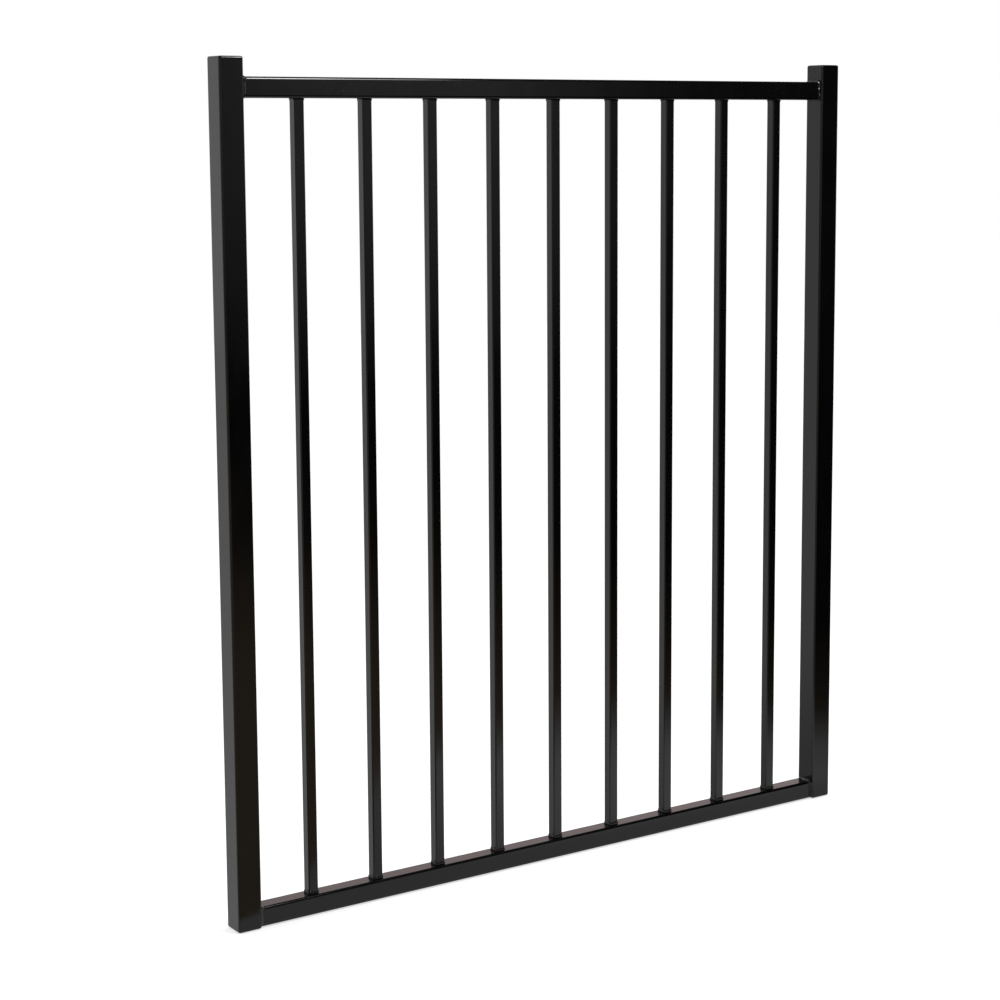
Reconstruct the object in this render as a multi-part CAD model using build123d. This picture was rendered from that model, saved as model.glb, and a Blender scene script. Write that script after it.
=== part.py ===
# Welded steel gate leaf: two square-tube uprights, two rails and nine pickets
# Millimetres, +Z up, +X from the left upright to the right one, front towards -Y
# The origin is the middle of the left upright's outer face, where the leaf is hung
from build123d import *
import math
import os

# Overall size of the leaf
gate_width = 1156.0
gate_height = 1265.0

# Square tubes: outer size, wall and outer corner radius
upright_size = 38.0
upright_wall = 1.5
upright_corner = 3.0
rail_size = 30.0
rail_wall = 1.5
rail_corner = 4.0
picket_size = 16.0
picket_wall = 1.0
picket_corner = 2.0

# Clear gaps beside the first and last picket
picket_count = 9
left_gap = 85.0
right_gap = 81.0
# How far the uprights stand above the top rail and below the bottom rail
upright_rise = 28.0
upright_drop = 0.5

# Plates that close the uprights' ends, and the share of their thickness that is ground off the rim
cap_thickness = 3.0
cap_rim_share = 0.8

# Weld beads: reach along the tube that ends there, and up the piece that it is welded to
rail_weld_along = 5.0
rail_weld_up = 3.0
picket_weld_along = 4.0
picket_weld_up = 1.4
# How far the face of a picket's bead swells above a straight chamfer
picket_weld_crown = 0.3

# Heights that follow from the sizes above
gate_top = gate_height / 2
gate_bottom = -gate_top
tube_top = gate_top - cap_thickness
tube_bottom = gate_bottom + cap_thickness
top_rail_z = gate_top - upright_rise - rail_size / 2
bottom_rail_z = gate_bottom + upright_drop + rail_size / 2
picket_top = top_rail_z - rail_size / 2
picket_bottom = bottom_rail_z + rail_size / 2

# Places along the leaf that follow from the sizes above
left_upright_x = upright_size / 2
right_upright_x = gate_width - upright_size / 2
rail_length = gate_width - 2 * upright_size
first_picket_x = upright_size + left_gap + picket_size / 2
last_picket_x = gate_width - upright_size - right_gap - picket_size / 2
picket_pitch = (last_picket_x - first_picket_x) / (picket_count - 1)


def square_bar(plane, size, corner, length):
    """Solid bar with a tube's outer outline, from a plane along its normal."""
    return extrude(plane * RectangleRounded(size, size, corner), amount=length)


def square_tube(plane, size, wall, corner, length):
    """Open square tube with formed corners, from a plane along its normal."""
    bore = square_bar(plane, size - 2 * wall, corner - wall, length)
    return square_bar(plane, size, corner, length) - bore


def rail_end(z):
    """Plane of a rail's left end, looking along the rail."""
    return Plane(origin=(upright_size, 0, z), x_dir=(0, 1, 0), z_dir=(1, 0, 0))


def upright(x):
    """Upright tube between its two end plates."""
    foot = Plane((x, 0, tube_bottom))
    return square_tube(foot, upright_size, upright_wall, upright_corner, tube_top - tube_bottom)


def top_cap(x):
    """Plate that closes an upright's upper end."""
    plate = square_bar(Plane((x, 0, tube_top)), upright_size, upright_corner, cap_thickness)
    rim = plate.faces().sort_by(Axis.Z)[-1].edges()
    return chamfer(rim, cap_rim_share * cap_thickness)


def picket(x):
    """Picket tube that butts against both rails."""
    foot = Plane((x, 0, picket_bottom))
    return square_tube(foot, picket_size, picket_wall, picket_corner, picket_top - picket_bottom)


def rail_weld(z):
    """Bead all round a rail's left end, filling the hollows beside the upright's rounded corners."""
    joint = rail_end(z)
    rise = min(rail_weld_up, (upright_size - rail_size) / 2)
    foot = joint * RectangleRounded(rail_size + 2 * rise, rail_size + 2 * rise, rail_corner + rise)
    face_slope = math.degrees(math.atan2(rise, rail_weld_along))
    bead = extrude(foot, amount=rail_weld_along, taper=face_slope)
    root = extrude(foot, amount=-upright_corner)
    rail_bar = square_bar(joint, rail_size, rail_corner, rail_length)
    upright_foot = Plane((left_upright_x, 0, gate_bottom))
    upright_bar = square_bar(upright_foot, upright_size, upright_corner, gate_height)
    return bead + root - rail_bar - upright_bar


def flush_rail_weld(z):
    """Bead on three sides only, because the rail's underside is flush with the upright's end."""
    lowest_flat = max(z - rail_size / 2 + rail_corner, tube_bottom)
    return split(rail_weld(z), Plane.XY.offset(lowest_flat), keep=Keep.TOP)


def picket_weld(x):
    """Four short crowned runs at a picket's lower end, one on each flat."""
    face = picket_size / 2
    slope = math.hypot(picket_weld_along, picket_weld_up)
    toe = (face, 0, picket_weld_along)
    shoulder = (face + picket_weld_up, 0, 0)
    crown = (
        face + picket_weld_up / 2 + picket_weld_crown * picket_weld_along / slope,
        0,
        picket_weld_along / 2 + picket_weld_crown * picket_weld_up / slope,
    )
    section = make_face([ThreePointArc(toe, crown, shoulder), Polyline(shoulder, (face, 0, 0), toe)])
    run = extrude(section, amount=face - picket_corner, both=True)
    place = Pos(x, 0, picket_bottom)
    return Compound([place * Rot(0, 0, quarter * 90) * run for quarter in range(4)])


def save(name, shape):
    """Write one named piece."""
    export_step(shape, f"parts/{name}.step")


os.makedirs("parts", exist_ok=True)

for side, x in (("left", left_upright_x), ("right", right_upright_x)):
    cap = top_cap(x)
    save(f"{side}_upright", upright(x))
    save(f"{side}_top_cap", cap)
    save(f"{side}_bottom_cap", mirror(cap, about=Plane.XY))

middle = Plane.YZ.offset(gate_width / 2)
for name, z, bead in (
    ("top_rail", top_rail_z, rail_weld(top_rail_z)),
    ("bottom_rail", bottom_rail_z, flush_rail_weld(bottom_rail_z)),
):
    save(name, square_tube(rail_end(z), rail_size, rail_wall, rail_corner, rail_length))
    save(f"{name}_left_weld", bead)
    save(f"{name}_right_weld", mirror(bead, about=middle))

half_way_up = Plane.XY.offset((picket_bottom + picket_top) / 2)
for number in range(1, picket_count + 1):
    x = first_picket_x + (number - 1) * picket_pitch
    bead = picket_weld(x)
    save(f"picket_{number}", picket(x))
    save(f"picket_{number}_bottom_weld", bead)
    save(f"picket_{number}_top_weld", mirror(bead, about=half_way_up))
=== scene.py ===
import math

import bpy
from mathutils import Matrix, Vector, noise


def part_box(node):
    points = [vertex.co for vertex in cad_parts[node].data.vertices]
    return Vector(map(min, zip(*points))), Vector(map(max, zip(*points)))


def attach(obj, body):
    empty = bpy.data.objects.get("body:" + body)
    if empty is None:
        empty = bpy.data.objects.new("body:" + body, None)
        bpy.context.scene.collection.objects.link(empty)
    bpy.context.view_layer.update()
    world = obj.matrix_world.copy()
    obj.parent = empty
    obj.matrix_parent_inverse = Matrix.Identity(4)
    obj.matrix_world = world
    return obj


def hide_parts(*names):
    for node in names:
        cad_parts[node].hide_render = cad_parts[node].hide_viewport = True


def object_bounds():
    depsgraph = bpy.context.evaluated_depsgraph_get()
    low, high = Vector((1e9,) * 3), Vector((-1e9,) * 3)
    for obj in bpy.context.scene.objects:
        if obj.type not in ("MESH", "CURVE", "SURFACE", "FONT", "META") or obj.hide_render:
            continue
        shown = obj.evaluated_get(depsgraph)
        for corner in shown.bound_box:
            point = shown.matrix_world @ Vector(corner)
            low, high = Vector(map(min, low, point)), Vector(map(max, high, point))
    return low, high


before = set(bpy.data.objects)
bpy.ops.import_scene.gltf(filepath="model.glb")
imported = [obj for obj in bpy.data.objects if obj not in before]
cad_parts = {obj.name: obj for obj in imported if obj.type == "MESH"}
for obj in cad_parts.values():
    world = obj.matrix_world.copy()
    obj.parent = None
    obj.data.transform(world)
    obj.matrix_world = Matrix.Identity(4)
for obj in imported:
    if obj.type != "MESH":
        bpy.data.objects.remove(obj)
cad_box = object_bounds()

# Tubes, in metres, as the frame holds them
MM = 0.001
UPRIGHT_CORNER = 3.0 * MM
RAIL_CORNER = 4.0 * MM
PICKET_CORNER = 2.0 * MM
PICKETS = range(1, 10)

# End plates: radius of the rim, steps round it, spacing of points, and the dish as inset and depth
PLATE_RIM = 2.8 * MM
PLATE_RIM_STEPS = 7
PLATE_STEP = 0.7 * MM
PLATE_DISH = ((4.0 * MM, 0.0), (9.0 * MM, 0.12 * MM), (14.0 * MM, 0.2 * MM))

# Each bead's reach along its tube, reach up the other piece and ripple, in millimetres, and its face's crown
# The rails' beads also have thicker or thinner spots: direction across the rail's end, change and spread
RAIL_BEADS = {
    "top_rail_left": (5.0, 2.4, 0.25, 0.10, (
        (0, 1, -0.6, 0.6), (1, 0.8, 0.35, 0.2), (0, -1, -0.5, 0.8),
    )),
    "top_rail_right": (5.0, 2.4, 0.40, 0.16, (
        (0, 1, 0.6, 0.6), (1, 1, 0.3, 0.2), (1, 0.2, 0.4, 0.12), (1, -0.6, -0.3, 0.4), (0, -1, -0.5, 0.8),
    )),
    "bottom_rail_left": (4.2, 2.6, 0.10, 0.0, (
        (1, 1, 0.9, 0.14), (0, 1, -0.3, 0.5),
    )),
    "bottom_rail_right": (5.5, 2.6, 0.75, 0.18, (
        (0.4, 1, 0.6, 0.4), (1, 1, 0.3, 0.2), (1, 0, -0.15, 0.5), (-1, 1, -0.6, 0.5),
    )),
}
PICKET_BEADS = {"bottom": (5.0, 0.8, 0.40, 0.12), "top": (3.2, 0.5, 0.20, 0.16)}

# Mesh of a bead: spacing of points round the tube, strips across the face, and the root inside the steel
BEAD_STEP = 0.45 * MM
BEAD_STRIPS = 9
ROOT_DEPTH = 0.6 * MM
ROOT_SHARE = 0.8
# Uneven width of a bead: length of a swell, its slow and quick shares, and how much quicker the second one is
SWELL_LENGTH = 7.0 * MM
SLOW_SWELL = 0.22
QUICK_SWELL = 0.10
QUICK_RATE = 3.1
# Ripple of a bead: its pitch, how far it wanders and trails in pitches, its shape, and its share at the edges
RIPPLE_PITCH = 2.6 * MM
RIPPLE_WANDER = 0.5
WANDER_RATE = 1.7
WANDER_PLACE = Vector((5, 0, 0))
RIPPLE_TRAIL = 0.45
RIPPLE_POWER = 0.7
RIPPLE_MEAN = 0.6
RIPPLE_EDGE = 0.35
# Most of a rounded corner's radius that a bead follows round it
CORNER_SHARE = 0.98
# Distance between the patterns of two seeds, the first rail's seed, and the seeds kept for each picket
SEED_SPACING = 0.37
RAIL_SEED = 11
SEEDS_PER_PICKET = 10

# Coat: colours, gloss, heights of the bumps, and scales of the patterns in cycles per metre
COAT_DARK = (0.0012, 0.0012, 0.0014, 1)
COAT_PALE = (0.0024, 0.0023, 0.0023, 1)
DUST_COLOR = (0.09, 0.088, 0.085, 1)
COAT_IOR = 1.45
COAT_ROUGHNESS = 0.13
WELD_ROUGHNESS = 0.2
DUST_ROUGHNESS = 0.6
COAT_PEEL = 0.0025 * MM
WELD_PEEL = 0.01 * MM
WAVE_HEIGHT = 0.12 * MM
SHADE_SCALE = 14.0
SPECK_SCALE = 900.0
PATCH_SCALE = 11.0
SMEAR_SCALE = 30.0
PEEL_SCALE = 520.0
WAVE_SCALE = 16.0

# Camera, from a fit to the photograph's edges
CAMERA_PLACE = Vector((-1.3714, -2.7371, 0.5259))
CAMERA_YAW = math.radians(34.04)
CAMERA_PITCH = math.radians(-7.62)
CAMERA_ROLL = math.radians(-0.37)
CAMERA_LENS = 77.66
CAMERA_SHIFT_Y = -0.08
SENSOR_WIDTH = 36.0

# Levels of the studio: what the coat mirrors, and the soft light from the front and from behind
BACKDROP_LOW = 0.97
BACKDROP_HIGH = 0.79
PANEL_LEVEL = 1.1
ROOM_LEVEL = 0.44
WARM_TINT = (1.16, 0.95, 0.95, 1)
SOFT_FRONT = 0.3
SOFT_BACK = 0.9

# Floor: its place, its colour and glow as the camera sees it, and the levels of painted light that the coat
# mirrors
FLOOR_GAP = 1.0 * MM
FLOOR_REACH = 8.0
FLOOR_COLOR = (0.8, 0.8, 0.8, 1)
FLOOR_GLOW = 0.6
SHEET_LEVEL = 0.66
SHEET_HOT = 0.35
BOARDS_TINT = (1.3, 1.0, 0.7, 1)
BOARDS_LEVEL = 0.24
BOARDS_ASIDE = 0.32
BACK_NEAR_LEFT = 0.84
BACK_NEAR_RIGHT = 0.5
BACK_FAR = 0.8

# Softbox above the front, tilted to face the top rail
LAMP_PLACE = Vector((0.84, -0.88, 1.28))
LAMP_TILT = math.radians(52)
LAMP_SIZE = (0.64, 0.64)
LAMP_RADIANCE = 32.0


class Nodes:
    """Short ways to add and link the nodes of one tree."""

    def __init__(self, tree):
        self.tree = tree
        self.tree.nodes.clear()

    def add(self, kind, **settings):
        node = self.tree.nodes.new(kind)
        for name, value in settings.items():
            setattr(node, name, value)
        return node

    def link(self, source, target):
        self.tree.links.new(source, target)

    def put(self, value, socket):
        """Link a socket's value, or write a plain one."""
        if isinstance(value, bpy.types.NodeSocket):
            self.link(value, socket)
        else:
            socket.default_value = value

    def math(self, operation, *values):
        node = self.add("ShaderNodeMath", operation=operation)
        for value, socket in zip(values, node.inputs):
            self.put(value, socket)
        return node.outputs[0]

    def ramp(self, value, low, high, start=0.0, end=1.0):
        """A smooth step of a value, from start at low to end at high."""
        node = self.add("ShaderNodeMapRange", interpolation_type="SMOOTHSTEP")
        for part, socket in zip((value, low, high, start, end), node.inputs):
            self.put(part, socket)
        return node.outputs[0]

    def noise(self, place, scale, detail=2.0, stretch=None):
        """Noise at a place, in cycles per metre, stretched along some axes."""
        if stretch:
            mapping = self.add("ShaderNodeMapping")
            mapping.inputs["Scale"].default_value = stretch
            self.link(place, mapping.inputs["Vector"])
            place = mapping.outputs[0]
        node = self.add("ShaderNodeTexNoise")
        node.inputs["Scale"].default_value = scale
        node.inputs["Detail"].default_value = detail
        self.link(place, node.inputs["Vector"])
        return node.outputs["Fac"]

    def bump(self, height, distance, normal=None):
        """A bump of a height pattern, laid over another bump's normal."""
        node = self.add("ShaderNodeBump")
        node.inputs["Strength"].default_value = 1.0
        node.inputs["Distance"].default_value = distance
        self.link(height, node.inputs["Height"])
        if normal is not None:
            self.link(normal, node.inputs["Normal"])
        return node.outputs[0]

    def mix(self, factor, first, second):
        node = self.add("ShaderNodeMix", data_type="FLOAT")
        for value, socket in zip((factor, first, second), (node.inputs[0], node.inputs[2], node.inputs[3])):
            self.put(value, socket)
        return node.outputs[0]

    def mix_color(self, factor, first, second, blend="MIX"):
        node = self.add("ShaderNodeMix", data_type="RGBA", blend_type=blend)
        for value, socket in zip((factor, first, second), (node.inputs[0], node.inputs[6], node.inputs[7])):
            self.put(value, socket)
        return node.outputs[2]

    def mix_shader(self, factor, first, second):
        node = self.add("ShaderNodeMixShader")
        for value, socket in zip((factor, first, second), node.inputs):
            self.put(value, socket)
        return node.outputs[0]


def black_coat(name, roughness, peel_height):
    """Glossy black powder coat: fine orange peel, slow waves in the sheet, uneven gloss and a little dust."""
    material = bpy.data.materials.new(name)
    material.use_nodes = True
    net = Nodes(material.node_tree)
    place = net.add("ShaderNodeTexCoord").outputs["Object"]
    shader = net.add("ShaderNodeBsdfPrincipled")
    shader.inputs["IOR"].default_value = COAT_IOR

    shade = net.mix_color(net.noise(place, SHADE_SCALE), COAT_DARK, COAT_PALE)
    specks = net.ramp(net.noise(place, SPECK_SCALE, 0.0), 0.82, 0.87)
    patches = net.ramp(net.noise(place, PATCH_SCALE, 3.0), 0.52, 0.66)
    dust = net.math("MULTIPLY", specks, patches)
    net.link(net.mix_color(dust, shade, DUST_COLOR), shader.inputs["Base Color"])

    smears = net.noise(place, SMEAR_SCALE, 4.0, stretch=(1, 1, 0.35))
    gloss = net.ramp(smears, 0.3, 0.7, roughness * 0.8, roughness * 1.25)
    dusty = net.math("MULTIPLY", dust, DUST_ROUGHNESS)
    net.link(net.math("MAXIMUM", gloss, dusty), shader.inputs["Roughness"])

    peel = net.bump(net.noise(place, PEEL_SCALE, 1.0), peel_height)
    waves = net.bump(net.noise(place, WAVE_SCALE, 1.0), WAVE_HEIGHT, peel)
    net.link(waves, shader.inputs["Normal"])

    net.link(shader.outputs[0], net.add("ShaderNodeOutputMaterial").inputs["Surface"])
    return material


def new_piece(name, points, faces, material):
    """A smooth mesh piece that rides with the leaf."""
    mesh = bpy.data.meshes.new(name)
    mesh.from_pydata([tuple(p) for p in points], [], faces)
    mesh.materials.append(material)
    mesh.shade_smooth()
    piece = bpy.data.objects.new(name, mesh)
    bpy.context.scene.collection.objects.link(piece)
    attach(piece, "root")
    return piece


def rounded_square(half, corner, step):
    """Points and outward normals round a square with rounded corners, from the start of its first side."""
    flat = half - corner
    points, normals = [], []
    for quarter in range(4):
        turn = Matrix.Rotation(quarter * math.pi / 2, 2)
        count = max(2, round(2 * flat / step))
        for i in range(count):
            points.append(turn @ Vector((half, -flat + 2 * flat * i / count)))
            normals.append(turn @ Vector((1, 0)))
        count = max(3, round(corner * math.pi / 2 / step))
        for i in range(count):
            angle = math.pi / 2 * i / count
            normal = Vector((math.cos(angle), math.sin(angle)))
            points.append(turn @ (Vector((flat, flat)) + corner * normal))
            normals.append(turn @ normal)
    return points, normals


def bead_width(spot, place, lumps):
    """Width of a bead at one spot round its tube, as a share of its usual width."""
    width = 1.0 + SLOW_SWELL * noise.noise(place) + QUICK_SWELL * noise.noise(place * QUICK_RATE)
    for x, y, change, spread in lumps:
        away = (spot.normalized() - Vector((x, y)).normalized()).length
        width += change * math.exp(-((away / spread) ** 2))
    return width


def bead_section(along, up, ripple, crown, width, travel):
    """Section of a bead: distance out from the tube and lift along it, over the face and back by the root.

    travel is the way gone round the tube, in ripples.
    """
    slope = math.hypot(along, up)
    section = []
    for k in range(BEAD_STRIPS):
        a = k / (BEAD_STRIPS - 1)
        bow = 4 * a * (1 - a)
        wave = abs(math.sin(math.pi * (travel - RIPPLE_TRAIL * bow))) ** RIPPLE_POWER - RIPPLE_MEAN
        rise = crown * along * bow * width + ripple * wave * (RIPPLE_EDGE + (1 - RIPPLE_EDGE) * bow)
        out = a * up * width + rise * along / slope
        lift = (1 - a) * along * width + rise * up / slope
        section.append((out, lift))
    root = [(up * ROOT_SHARE, -ROOT_DEPTH), (-ROOT_DEPTH, -ROOT_DEPTH), (-ROOT_DEPTH, along * ROOT_SHARE)]
    return section + root


def ring_faces(kept, ring):
    """Faces between the sections that are kept, with a lid where a run of them starts or ends."""
    faces = []
    count = len(kept)
    for i in range(count):
        j = (i + 1) % count
        if not (kept[i] and kept[j]):
            continue
        for k in range(ring):
            m = (k + 1) % ring
            faces.append((i * ring + k, j * ring + k, j * ring + m, i * ring + m))
    for i in range(count):
        if kept[i] and not kept[i - 1]:
            faces.append(tuple(i * ring + k for k in range(ring)))
        if kept[i] and not kept[(i + 1) % count]:
            faces.append(tuple(i * ring + k for k in reversed(range(ring))))
    return faces


def weld_bead(name, node, joint, axes, half, corner, seed, along, up, ripple, crown,
              lumps=(), base_corner=None, cut=None):
    """A hand-laid bead round a tube's end: crowned, rippled and uneven, with its root inside the steel.

    joint is the middle of the tube's end, and axes are the tube's direction and the two across it.
    along, up and ripple are in millimetres, and lumps are thicker or thinner spots. base_corner is where a
    rounded corner of the other piece starts, and its radius, measured along the first cross axis, and cut is
    the lowest height along the second cross axis.
    """
    along, up, ripple = along * MM, up * MM, ripple * MM
    tube, first, second = axes
    outline, normals = rounded_square(half, corner, BEAD_STEP)
    points, kept = [], []
    length = 0.0
    for i, (spot, normal) in enumerate(zip(outline, normals)):
        length += (spot - outline[i - 1]).length if i else 0.0
        place = Vector((spot.x, spot.y, seed * SEED_SPACING)) / SWELL_LENGTH
        width = bead_width(spot, place, lumps)
        wander = RIPPLE_WANDER * noise.noise(place * WANDER_RATE + WANDER_PLACE)
        section = bead_section(along, up, ripple, crown, width, length / RIPPLE_PITCH + wander)
        kept.append(cut is None or spot.y >= cut)
        for out, lift in section:
            flat_spot = spot + normal * out
            if base_corner:
                start, radius = base_corner
                over = min(max(abs(flat_spot.x) - start, 0.0), radius * CORNER_SHARE)
                drop = radius - math.sqrt(radius ** 2 - over ** 2)
                lift -= drop * max(0.0, 1 - lift / along)
            points.append(joint + first * flat_spot.x + second * flat_spot.y + tube * lift)
    faces = ring_faces(kept, len(section))
    used = sorted({v for face in faces for v in face})
    order = {v: n for n, v in enumerate(used)}
    faces = [tuple(order[v] for v in face) for face in faces]
    bead = new_piece(name, [points[v] for v in used], faces, weld_coat)
    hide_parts(node)


def end_plate(name, node, up):
    """Plate that closes an upright's end, with a rounded rim and a slightly dished face.

    up is 1 at the upper end and -1 at the lower one.
    """
    low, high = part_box(node)
    middle = (low + high) / 2
    half = (high.x - low.x) / 2
    base = low.z if up > 0 else high.z
    thickness = high.z - low.z
    rings = [(0.0, 0.0)]
    for i in range(PLATE_RIM_STEPS + 1):
        angle = math.pi / 2 * i / PLATE_RIM_STEPS
        rings.append((PLATE_RIM * (1 - math.cos(angle)), thickness - PLATE_RIM * (1 - math.sin(angle))))
    rings += [(inset, thickness - depth) for inset, depth in PLATE_DISH]
    outline, _ = rounded_square(half, UPRIGHT_CORNER, PLATE_STEP)
    count = len(outline)
    points, faces = [], []
    for inset, height in rings:
        share = 1 - inset / half
        for spot in outline:
            points.append(Vector((middle.x + spot.x * share, middle.y + spot.y * share, base + up * height)))
    for row in range(len(rings) - 1):
        for i in range(count):
            j = (i + 1) % count
            faces.append((row * count + i, row * count + j, (row + 1) * count + j, (row + 1) * count + i))
    faces.append(tuple(range((len(rings) - 1) * count, len(rings) * count)))
    faces.append(tuple(reversed(range(count))))
    if up < 0:
        faces = [face[::-1] for face in faces]
    plate = new_piece(name, points, faces, coat)
    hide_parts(node)


def rail_beads():
    """Beads at the four ends of the two rails."""
    upright_low, upright_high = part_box("left_upright")
    corner_start = (upright_high.y - upright_low.y) / 2 - UPRIGHT_CORNER
    ends = [(rail, side) for rail in ("top_rail", "bottom_rail") for side in ("left", "right")]
    for number, (rail, side) in enumerate(ends):
        low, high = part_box(rail)
        half = (high.z - low.z) / 2
        end, way = (low.x, 1) if side == "left" else (high.x, -1)
        joint = Vector((end, 0, (low.z + high.z) / 2))
        axes = (Vector((way, 0, 0)), Vector((0, -1, 0)), Vector((0, 0, 1)))
        weld_bead(
            f"{rail}_{side}_bead", f"{rail}_{side}_weld", joint, axes, half, RAIL_CORNER,
            RAIL_SEED + number, *RAIL_BEADS[f"{rail}_{side}"],
            base_corner=(corner_start, UPRIGHT_CORNER),
            cut=-half + RAIL_CORNER if rail == "bottom_rail" else None,
        )


def picket_beads():
    """Beads at both ends of every picket."""
    for number in PICKETS:
        low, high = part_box(f"picket_{number}")
        half = (high.x - low.x) / 2
        for end, height, way in (("bottom", low.z, 1), ("top", high.z, -1)):
            joint = Vector(((low.x + high.x) / 2, 0, height))
            axes = (Vector((0, 0, way)), Vector((1, 0, 0)), Vector((0, 1, 0)))
            weld_bead(
                f"picket_{number}_{end}_bead", f"picket_{number}_{end}_weld",
                joint, axes, half, PICKET_CORNER,
                SEEDS_PER_PICKET * number + (end == "top"), *PICKET_BEADS[end],
            )


def studio_world():
    """White studio behind and above the leaf, and a dim room in front of it, by the direction of each ray."""
    world = bpy.data.worlds.new("studio")
    bpy.context.scene.world = world
    world.use_nodes = True
    net = Nodes(world.node_tree)
    way = net.add("ShaderNodeSeparateXYZ")
    net.link(net.add("ShaderNodeTexCoord").outputs["Generated"], way.inputs[0])
    x, y, z = way.outputs
    behind = net.math("MAXIMUM", net.ramp(y, -0.12, 0.25), net.ramp(x, 0.75, 0.95))

    # The backdrop dims upward and to the far left, and has a bright panel high on its left
    rise = net.ramp(z, 0.0, 0.3, BACKDROP_LOW, BACKDROP_HIGH)
    backdrop = net.math("MULTIPLY", rise, net.ramp(x, -0.7, -0.45, 0.78, 1.0))
    backdrop = net.math("MULTIPLY", backdrop, net.ramp(z, 0.35, 0.55, 1.0, 0.25))
    panel = net.math("MULTIPLY", net.ramp(z, 0.40, 0.50), net.ramp(x, 0.05, 0.30, 1.0, 0.0))
    backdrop = net.mix(panel, backdrop, PANEL_LEVEL)

    # The room is lit on its left and by a narrow window on its right, and it is dark low down and high up
    window = net.math("MULTIPLY", net.ramp(x, 0.445, 0.475, 0.35, 1.0), net.ramp(x, 0.55, 0.63, 1.0, 0.0))
    window = net.math("MAXIMUM", window, net.ramp(x, 0.15, 0.40, 1.0, 0.0))
    room = net.math("MULTIPLY", net.ramp(z, -0.16, 0.02, 0.0, ROOM_LEVEL), window)
    room = net.math("MULTIPLY", room, net.ramp(z, 0.15, 0.4, 1.0, 0.1))
    mirrored = net.mix(behind, room, backdrop)

    path = net.add("ShaderNodeLightPath").outputs
    shiny = net.math("MAXIMUM", path["Is Glossy Ray"], path["Is Transmission Ray"])
    unseen = net.mix(shiny, net.mix(behind, SOFT_FRONT, SOFT_BACK), mirrored)
    warm_band = net.math("MULTIPLY", net.ramp(z, 0.10, 0.25), net.ramp(z, 0.36, 0.46, 1.0, 0.0))
    warm = net.math("MULTIPLY", warm_band, shiny)
    background = net.add("ShaderNodeBackground")
    net.link(net.mix_color(warm, (1, 1, 1, 1), WARM_TINT), background.inputs["Color"])
    net.link(net.mix(path["Is Camera Ray"], unseen, 1.0), background.inputs["Strength"])
    net.link(background.outputs[0], net.add("ShaderNodeOutputWorld").inputs["Surface"])


def mirrored_floor(net, x, y):
    """Colour of the floor in reflections, all painted light: a pale sheet under the leaf with a painted
    bright pool, and dim warm boards before it.
    """
    edge = net.math("ADD", net.ramp(x, 0.0, 0.75, -0.07, -0.62), net.ramp(x, 1.1, 1.7, 0.0, 0.5))
    fade = net.ramp(x, 0.3, 1.5, 0.009, 0.3)
    sheet = net.ramp(y, net.math("SUBTRACT", edge, fade), net.math("ADD", edge, fade))
    # Painted light: a brighter pool on the sheet just in front of the leaf
    hot = net.math("MULTIPLY", net.ramp(x, 0.3, 0.8), net.ramp(x, 1.0, 1.4, 1.0, 0.0))
    hot = net.math("MULTIPLY", hot, net.ramp(y, -0.12, -0.06, 1.0, 0.0))
    sheet_level = net.math("MULTIPLY_ADD", hot, SHEET_HOT, SHEET_LEVEL)

    # Painted light: the boards dim to the right and far in front, and are painted brighter to the front left
    # for a sheen on front faces
    across = net.ramp(x, 0.6, 2.2, BOARDS_LEVEL, 0.0)
    boards_level = net.math("MULTIPLY", across, net.ramp(y, -3.6, -1.4, 0.2, 1.0))
    aside = net.math("MULTIPLY_ADD", y, 0.45, x)
    boards_level = net.mix(net.ramp(aside, -0.6, -0.1), BOARDS_ASIDE, boards_level)
    boards = net.mix_color(1.0, BOARDS_TINT, boards_level, blend="MULTIPLY")

    front = net.mix_color(sheet, boards, sheet_level)
    # Painted light behind the leaf: brighter near its left end, dimmer to the right, and one level far behind
    near = net.ramp(x, 0.0, 1.1, BACK_NEAR_LEFT, BACK_NEAR_RIGHT)
    back = net.mix(net.ramp(y, 0.3, 1.2), near, BACK_FAR)
    return net.mix_color(net.ramp(y, -0.02, 0.02), front, back)


def pale_floor():
    """White floor that keeps a soft shadow, and glows with painted light where the leaf mirrors it."""
    ground = cad_box[0].z - FLOOR_GAP
    r = FLOOR_REACH
    mesh = bpy.data.meshes.new("floor")
    mesh.from_pydata([(-r, -r, ground), (r, -r, ground), (r, r, ground), (-r, r, ground)], [], [(0, 1, 2, 3)])
    floor = bpy.data.objects.new("floor", mesh)
    bpy.context.scene.collection.objects.link(floor)
    material = bpy.data.materials.new("pale_floor")
    material.use_nodes = True
    material.cycles.emission_sampling = "NONE"
    net = Nodes(material.node_tree)
    split = net.add("ShaderNodeSeparateXYZ")
    net.link(net.add("ShaderNodeNewGeometry").outputs["Position"], split.inputs[0])
    x, y, _ = split.outputs

    # Painted light: a glow on the floor that only glossy rays see, though the floor is no lamp
    mirrored = net.add("ShaderNodeEmission")
    net.link(mirrored_floor(net, x, y), mirrored.inputs["Color"])
    plain = net.add("ShaderNodeBsdfDiffuse")
    plain.inputs["Color"].default_value = FLOOR_COLOR
    bright = net.add("ShaderNodeEmission")
    bright.inputs["Strength"].default_value = FLOOR_GLOW
    seen = net.add("ShaderNodeAddShader")
    net.link(bright.outputs[0], seen.inputs[0])
    net.link(plain.outputs[0], seen.inputs[1])
    path = net.add("ShaderNodeLightPath").outputs
    shiny = net.math("MAXIMUM", path["Is Glossy Ray"], path["Is Transmission Ray"])
    unseen = net.mix_shader(shiny, plain.outputs[0], mirrored.outputs[0])
    shown = net.mix_shader(path["Is Camera Ray"], unseen, seen.outputs[0])
    net.link(shown, net.add("ShaderNodeOutputMaterial").inputs["Surface"])
    mesh.materials.append(material)


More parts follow.
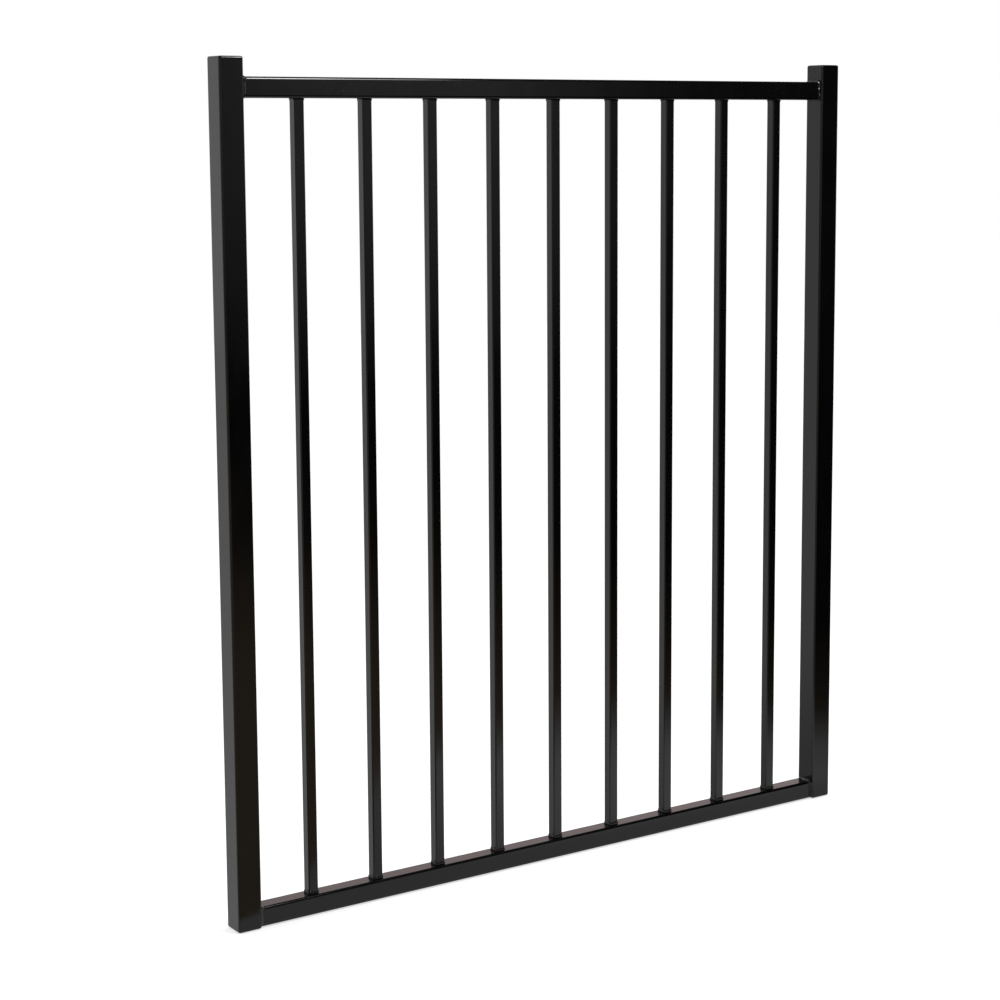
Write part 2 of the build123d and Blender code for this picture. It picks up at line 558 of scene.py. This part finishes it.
def soft_lamp():
    """Softbox above the front, brightest near its left edge, which draws the lines on rounded upper edges."""
    light = bpy.data.lights.new("softbox", "AREA")
    light.shape = "RECTANGLE"
    light.size, light.size_y = LAMP_SIZE
    light.energy = LAMP_RADIANCE * math.pi * LAMP_SIZE[0] * LAMP_SIZE[1]
    light.use_nodes = True
    net = Nodes(light.node_tree)
    split = net.add("ShaderNodeSeparateXYZ")
    net.link(net.add("ShaderNodeNewGeometry").outputs["Position"], split.inputs[0])
    x = split.outputs[0]
    level = net.math("MULTIPLY", net.ramp(x, 0.53, 0.64), net.ramp(x, 0.60, 0.95, 1.0, 0.25))
    level = net.math("MULTIPLY", level, net.ramp(x, 0.95, 1.15, 1.0, 0.0))
    glow = net.add("ShaderNodeEmission")
    net.link(level, glow.inputs["Strength"])
    net.link(glow.outputs[0], net.add("ShaderNodeOutputLight").inputs["Surface"])
    lamp = bpy.data.objects.new("softbox", light)
    lamp.location = LAMP_PLACE
    lamp.rotation_euler.x = LAMP_TILT
    bpy.context.scene.collection.objects.link(lamp)


def photo_camera():
    """Camera where the photograph was taken from."""
    data = bpy.data.cameras.new("camera")
    data.sensor_width = SENSOR_WIDTH
    data.lens = CAMERA_LENS
    data.shift_y = CAMERA_SHIFT_Y
    camera = bpy.data.objects.new("camera", data)
    turn = Matrix.Rotation(-CAMERA_YAW, 4, "Z") @ Matrix.Rotation(math.pi / 2 + CAMERA_PITCH, 4, "X")
    camera.matrix_world = Matrix.Translation(CAMERA_PLACE) @ turn @ Matrix.Rotation(CAMERA_ROLL, 4, "Z")
    bpy.context.scene.collection.objects.link(camera)
    bpy.context.scene.camera = camera


bpy.context.scene.view_settings.view_transform = "Standard"
coat = black_coat("black_powder_coat", COAT_ROUGHNESS, COAT_PEEL)
weld_coat = black_coat("black_coat_on_welds", WELD_ROUGHNESS, WELD_PEEL)
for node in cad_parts.values():
    node.data.materials.clear()
    node.data.materials.append(coat)

rail_beads()
picket_beads()
for side in ("left", "right"):
    for end, up in (("top", 1), ("bottom", -1)):
        end_plate(f"{side}_{end}_plate", f"{side}_{end}_cap", up)

photo_camera()
pale_floor()
soft_lamp()
studio_world()
